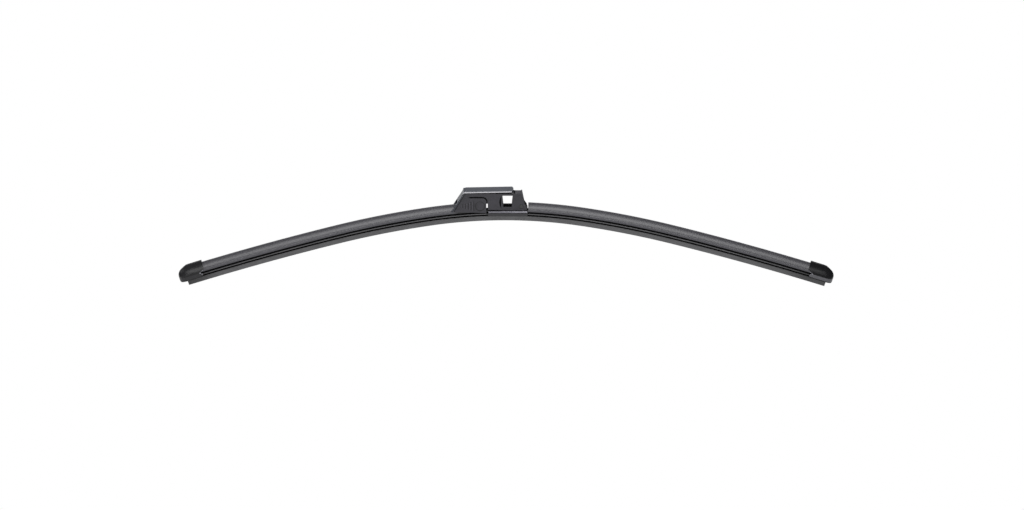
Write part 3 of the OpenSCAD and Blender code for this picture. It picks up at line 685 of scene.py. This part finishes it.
def spoiler_rubber():
    """Satin elastomer: a fine grain, faint drawn lines along the blade and a cloudy tone. The
    claws' fronts have a painted highlight, and under the adaptor a painted shadow."""
    made = Recipe("spoiler_elastomer", (0.05, 0.049, 0.057), specular=0.5)
    lines = made.noise(14, 9000, 1, rough=0.6, source="UV")
    made.shade(made.noise(60), 0.94, 1.06)
    x = made.place("X")
    # Painted shadow of the adaptor on the claws' fronts, and a painted highlight on them elsewhere
    adaptor_shadow = made.sums("MULTIPLY", made.rise(x, *ADAPTOR_SHADOW_START),
                      made.rise(x, BASE_LEFT, BASE_RIGHT, 1.0, 0.0))
    tone = made.sums("MULTIPLY_ADD", adaptor_shadow, ADAPTOR_SHADOW_TONE - CLAW_HIGHLIGHT_TONE, CLAW_HIGHLIGHT_TONE)
    claws = made.rise(made.off_middle(), *CLAW_FACE)
    made.faded(made.sums("MULTIPLY_ADD", claws, made.sums("SUBTRACT", tone, 1.0), 1.0))
    made.sheen(lines, 0.36, 0.41)
    made.bump(lines, 0.01, 0.2)
    made.bump(made.noise(9000, detail=2), 0.01, 0.1)
    return made.mat


def wiping_compound():
    """Matt graphite-dusted rubber, with painted shade towards both ends and drawn lines along the lip."""
    made = Recipe("wiping_rubber", (0.125, 0.125, 0.13), specular=0.4)
    lines = made.noise(10, 6000, 1, detail=4, rough=0.6, source="UV")
    made.shade(made.noise(60), 0.9, 1.1)
    x = made.place("X")
    # Painted shade towards both ends of the rubber
    made.faded(made.sums("MULTIPLY", made.rise(x, *END_SHADE_LEFT, END_SHADE_LEFT_TONE, 1.0),
                         made.rise(x, *END_SHADE_RIGHT, 1.0, END_SHADE_RIGHT_TONE)))
    made.sheen(lines, 0.48, 0.62)
    made.bump(lines, 0.015, 0.5)
    return made.mat


def cap_plastic(name, tone, gloss):
    """Black moulded plastic with a low satin gloss."""
    made = Recipe(name, (tone, tone, tone * 1.1), specular=gloss)
    made.shade(made.noise(300), 0.9, 1.1)
    made.sheen(made.noise(120), 0.3, 0.38)
    made.bump(made.noise(7000, detail=2), 0.012, 0.4)
    return made.mat


def painted_shade_material():
    """Painted shade: near-black, matt and grained, on the faces in the grooves and under the edges."""
    made = Recipe("painted_shade_material", (0.004, 0.004, 0.0045), specular=0.05, rough=0.9)
    made.shade(made.noise(400), 0.8, 1.2)
    made.bump(made.noise(5000, detail=2), 0.015, 0.5)
    return made.mat


def rim_highlight(made):
    """Where the painted highlight lies: 1 on the outer half of the plate's bevelled edge, 0 elsewhere."""
    outer = made.rise(made.off_middle(), *RIM_OUT)
    return made.sums("MULTIPLY", outer, made.rise(made.place("Z"), *RIM_UP))


def tab_painted_light(made):
    """1 in the open; painted shade in a ring round the dish, and painted shade and highlight in
    lines beside the finger ribs: a cosine with the ribs' pitch, as long as they are."""
    x = made.place("X")
    along = made.sums("SUBTRACT", x, DISH_X)
    up = made.sums("SUBTRACT", made.place("Z"), DISH_Z)
    out = made.sums("SQRT", made.sums("MULTIPLY_ADD", along, along, made.sums("MULTIPLY", up, up)))
    off_ring = made.sums("ABSOLUTE", made.sums("SUBTRACT", out, DISH_R))
    ring = made.rise(off_ring, *DISH_LINE, DISH_SHADE_TONE, 1.0)
    turns = made.sums("MULTIPLY", made.sums("SUBTRACT", x, RIBS_RIGHT), 2 * math.pi / RIB_PITCH)
    half = made.sums("MULTIPLY_ADD", x, RIB_SPREAD, RIB_HALF - RIBS_RIGHT * RIB_SPREAD)
    past_end = made.sums("SUBTRACT", made.sums("ABSOLUTE", up), half)
    inside = made.rise(past_end, -RIB_SOFT, RIB_SOFT, 1.0, 0.0)
    for edge in (made.rise(x, RIBS_RIGHT + RIB_SOFT, RIBS_RIGHT + 2 * RIB_SOFT, 1.0, 0.0),
                 made.rise(x, RIBS_LEFT - RIB_SOFT, RIBS_LEFT, 0.0, RIB_SHADE)):
        inside = made.sums("MULTIPLY", inside, edge)
    ribs = made.sums("SUBTRACT", 1.0, made.sums("MULTIPLY", made.sums("COSINE", turns), inside))
    return made.sums("MULTIPLY", ring, ribs)


def adaptor_plastic():
    """Dark glass-filled plastic with a fine spark-eroded grain. Painted shade lies in a ring round
    the thumb dish and painted shade and highlight in lines beside the finger ribs, and the cheeks
    are a little darker than the walls."""
    made = Recipe("adaptor_plastic", (0.045, 0.043, 0.053), specular=0.4)
    made.shade(made.noise(180, detail=4), 0.88, 1.12)
    # Painted shade round the thumb dish, and painted shade and highlight beside the finger ribs
    made.faded(tab_painted_light(made))
    made.faded(made.rise(made.off_middle(), *CHEEK_FACE, CHEEK_TONE, 1.0))
    made.sheen(made.noise(900, detail=2), 0.38, 0.5)
    made.bump(made.noise(6000, detail=2), 0.02, 0.5)
    return made.mat


def cover_plastic():
    """Smoother satin plastic with a faint cool tone, and a painted highlight along its rim."""
    made = Recipe("cover_plastic", (0.053, 0.058, 0.073), specular=0.3)
    made.shade(made.noise(150), 0.92, 1.08)
    # Painted highlight along the plate's rim
    made.painted_highlight(rim_highlight(made), RIM_HIGHLIGHT_COLOR)
    made.sheen(made.noise(700, detail=2), 0.28, 0.31)
    made.bump(made.noise(5000, detail=2), 0.012, 0.15)
    return made.mat


def base_plastic(name, tone):
    """The mount base's plastic, a little glossier than the adaptor's; its ledge has a painted highlight.
    """
    made = Recipe(name, (tone, tone * 0.98, tone * 1.15), specular=0.5)
    made.shade(made.noise(200), 0.94, 1.06)
    made.sheen(made.noise(600, detail=2), 0.36, 0.4)
    made.bump(made.noise(6000, detail=2), 0.015, 0.2)
    return made.mat


def rail_steel():
    """Spring steel under black paint, with faint rolling marks."""
    made = Recipe("rail_steel", (0.02, 0.02, 0.021), specular=0.5)
    made.shade(made.noise(40, 900, 900), 0.85, 1.2)
    made.bump(made.noise(60, 4000, 4000), 0.01, 0.5)
    return made.mat


def pin_steel():
    """Blackened steel, grained and cloudy."""
    made = Recipe("pin_steel", (0.05, 0.05, 0.05), specular=0.5, rough=0.38)
    made.shader.inputs["Metallic"].default_value = 0.6
    made.shade(made.noise(1500), 0.8, 1.2)
    made.bump(made.noise(5000, detail=2), 0.01, 0.5)
    return made.mat


# Each piece with its finish and the body that carries it
def finish(obj, body, slot, *materials):
    """Gives a piece its materials and the body that carries it. The slot is not used."""
    for material in materials:
        obj.data.materials.append(material)
    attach(obj, body)
    return obj


def repaint(node, material):
    """Gives a shown CAD node a material."""
    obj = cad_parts[node]
    if not obj.material_slots:
        obj.data.materials.append(material)
    for held in obj.material_slots:
        held.material = material


def blade_pieces(shade_paint):
    """The wiping rubber, the spoilers and the end caps."""
    # The rubber's second material is painted shade on its web and bead
    rubber = finish(wiping_rubber(), "blade", "rubber", wiping_compound(), shade_paint)
    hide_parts("wiping_rubber")

    elastomer = spoiler_rubber()
    right_end = RIGHT_LEN - RIGHT_TAIL
    stretches = {"left": (SPOILER_INSET - LEFT_LEN, lip_length(BASE_LEFT - LEFT_GAP)),
                 "right": (lip_length(BASE_RIGHT + RIGHT_GAP), right_end - SPOILER_INSET)}
    for side, (start, stop) in stretches.items():
        half = spoiler(f"spoiler_{side}_moulding", start, stop)
        finish(half, "blade", "spoiler", elastomer, shade_paint)
        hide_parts(f"spoiler_{side}")

    # Painted highlight on the edge round each cap's notch
    painted_highlight = cap_plastic("cap_edge_painted_highlight", 0.4, 0.5)
    left = end_cap("end_cap_left_moulding", -1, LEFT_LEN, 0.0)
    # Lit and shaded copies of one plastic: painted light on the left cap, painted shade on the right, and
    # skirts painted lighter
    finish(left, "blade", "cap", cap_plastic("cap_plastic_left_painted_light", 0.016, 0.25),
           cap_plastic("cap_skirt_left_painted_light", 0.03, 0.3), painted_highlight)
    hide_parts("end_cap_left")
    right = end_cap("end_cap_right_moulding", 1, right_end, RIGHT_TAIL)
    finish(right, "blade", "cap", cap_plastic("cap_plastic_right_painted_shade", 0.011, 0.1),
           cap_plastic("cap_skirt_right_painted_light", 0.12, 0.4), painted_highlight)
    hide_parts("end_cap_right")


def base_pieces(shade_paint):
    """The mount base, with painted shade above its ledges, and the ledges."""
    seat = edged_copy("mount_base", 0.18)
    # Painted shade of the adaptor on the base above its ledges
    second_finish(seat, face_places(seat)[:, 2] > DECK_LOW)
    finish(seat, "blade", "base", base_plastic("base_plastic", 0.023), shade_paint)
    # The ledges' lighter tone is a painted highlight
    painted_highlight = base_plastic("base_ledge_painted_highlight", 0.22)
    for name, side in (("front", -1), ("rear", 1)):
        finish(base_ledge("base_ledge_" + name, side), "blade", "base", painted_highlight)


def adaptor_pieces(shade_paint):
    """The adaptor's body and the small pieces of its walls, the cover and the tabs. Left of the arm
    seat the walls' inner faces and the ear groove's floor have painted shade, and so have the faces
    under the plate's edges."""
    plastic = adaptor_plastic()
    body = edged_copy("adaptor_body", 0.15)
    x, y, _ = face_places(body).T
    sideways = np.abs(face_values(body, "normal")[:, 1]) > 0.9
    # Painted shade on the walls' inner faces left of the arm seat
    second_finish(body, (x < 0) & sideways & (np.abs(np.abs(y) - WALL_IN) < 0.1))
    finish(body, "adaptor", "adaptor", plastic, shade_paint)

    band = softened(BAND_SECTION, BAND_ROUND, 3)
    (left, right), (low, high) = STRIP_X, STRIP_Z
    strip = np.array([(left, low), (right, low), (right, high), (left, high)])
    for name, side in (("front", -1), ("rear", 1)):
        for piece in (wall_piece("mouth_band_" + name, band, side * np.array(BAND_Y)),
                      wall_piece("bending_strip_" + name, strip, side * np.array(STRIP_Y))):
            finish(piece, "adaptor", "adaptor", plastic)

    plate = edged_copy("adaptor_cover", 0.2)
    _, y, z = face_places(plate).T
    normal = face_values(plate, "normal")
    at_rim = (z > PLATE_LOW) & (np.abs(y) > WALL_OUT)
    # Painted shade on the faces under the plate's edges
    second_finish(plate, at_rim & (normal[:, 2] < 0.1) & (np.abs(normal[:, 0]) < 0.5))
    finish(plate, "adaptor", "cover", cover_plastic(), shade_paint)

    finish(edged_copy("release_tab_front", 0), "tab_front", "adaptor", plastic)
    finish(edged_copy("release_tab_rear", 0), "tab_rear", "adaptor", plastic)


def metal_pieces():
    """The hinge pin and the rails."""
    finish(edged_copy("hinge_pin", 0.25), "blade", "pin", pin_steel())
    steel = rail_steel()
    repaint("rail_front", steel)
    repaint("rail_rear", steel)


# Camera, lamps and floor
def camera():
    """A long-lens view, square to the blade and a little from above, at the photograph's scale."""
    picture_width = 1024
    millimetres_per_pixel = 0.84
    aim_x, aim_z = 6.15, -30.0
    look_down = math.radians(13)
    away = 1.6
    data = bpy.data.cameras.new("camera")
    data.type = "ORTHO"
    data.ortho_scale = picture_width * millimetres_per_pixel / 1000
    data.clip_end = 20
    obj = bpy.data.objects.new("camera", data)
    obj.location = ((aim_x - SEAT_X) / 1000, -away * math.cos(look_down),
                    (aim_z - SEAT_Z) / 1000 + away * math.sin(look_down))
    obj.rotation_euler = (math.pi / 2 - look_down, 0, 0)
    bpy.context.scene.collection.objects.link(obj)
    bpy.context.scene.camera = obj


def lamp(name, place, target, size, power):
    """A rectangular soft light at a place, turned to a target, both in metres."""
    data = bpy.data.lights.new(name, "AREA")
    data.shape = "RECTANGLE"
    data.size, data.size_y = size
    data.energy = power
    obj = bpy.data.objects.new(name, data)
    obj.location = place
    way = np.array(target) - np.array(place)
    flat = math.hypot(way[0], way[1])
    obj.rotation_euler = (math.atan2(flat, -way[2]), 0, math.atan2(way[1], way[0]) - math.pi / 2)
    bpy.context.scene.collection.objects.link(obj)


def white_to_the_eye(tree, soft, white, target, rays):
    """Camera rays and the named ones meet the white shader, and all other rays the soft one."""
    path = tree.nodes.new("ShaderNodeLightPath")
    seen = path.outputs["Is Camera Ray"]
    for ray in rays:
        either = tree.nodes.new("ShaderNodeMath")
        either.operation = "MAXIMUM"
        tree.links.new(seen, either.inputs[0])
        tree.links.new(path.outputs[ray], either.inputs[1])
        seen = either.outputs["Value"]
    mix = tree.nodes.new("ShaderNodeMixShader")
    tree.links.new(seen, mix.inputs["Fac"])
    tree.links.new(soft, mix.inputs[1])
    tree.links.new(white, mix.inputs[2])
    tree.links.new(mix.outputs["Shader"], target)


def studio():
    """White to the eye, little light from elsewhere, a broad lamp overhead and weaker lamps around."""
    world = bpy.data.worlds.new("studio")
    bpy.context.scene.world = world
    world.use_nodes = True
    tree = world.node_tree
    tree.nodes.clear()
    out = tree.nodes.new("ShaderNodeOutputWorld")
    backgrounds = []
    for strength in (0.12, 1.0):
        background = tree.nodes.new("ShaderNodeBackground")
        background.inputs["Color"].default_value = (1, 1, 1, 1)
        background.inputs["Strength"].default_value = strength
        backgrounds.append(background.outputs["Background"])
    white_to_the_eye(tree, *backgrounds, out.inputs["Surface"], ["Is Transmission Ray"])
    lamp("key", place=(0, -0.02, 1.4), target=(0, 0, -0.03), size=(2.0, 0.7), power=24)
    lamp("back", place=(0, 1.3, 0.6), target=(0, 0, 0), size=(2.4, 0.4), power=1.5)
    lamp("fill", place=(0, -1.4, 0.15), target=(0, 0, -0.03), size=(2.0, 0.4), power=6.6)
    lamp("left", place=(-1.5, -0.5, 0.5), target=(-0.25, 0, -0.05), size=(0.5, 0.5), power=3)


def floor():
    """A plain white floor well below the blade, white to the camera and with the blade's soft shadow."""
    reach = 6.0
    depth = -0.35
    ways = np.array([[-1, -1], [1, -1], [1, 1], [-1, 1]])
    corners = np.concatenate([reach * ways, np.full((4, 1), depth)], 1)
    obj = make_mesh("floor", corners, [[0, 1, 2, 3]])
    mat = bpy.data.materials.new("floor_white")
    mat.use_nodes = True
    tree = mat.node_tree
    shader = tree.nodes["Principled BSDF"]
    shader.inputs["Base Color"].default_value = (0.8, 0.8, 0.8, 1)
    shader.inputs["Roughness"].default_value = 0.9
    glow = tree.nodes.new("ShaderNodeEmission")
    glow.inputs["Color"].default_value = (1, 1, 1, 1)
    surface = tree.nodes["Material Output"].inputs["Surface"]
    white_to_the_eye(tree, shader.outputs["BSDF"], glow.outputs["Emission"], surface,
                     ["Is Glossy Ray", "Is Transmission Ray"])
    obj.data.materials.append(mat)


camera()
studio()
floor()
# Near-black painted shade for the faces in grooves and under edges
dark = painted_shade_material()
blade_pieces(dark)
base_pieces(dark)
adaptor_pieces(dark)
metal_pieces()
bpy.context.scene.view_settings.view_transform = "Standard"
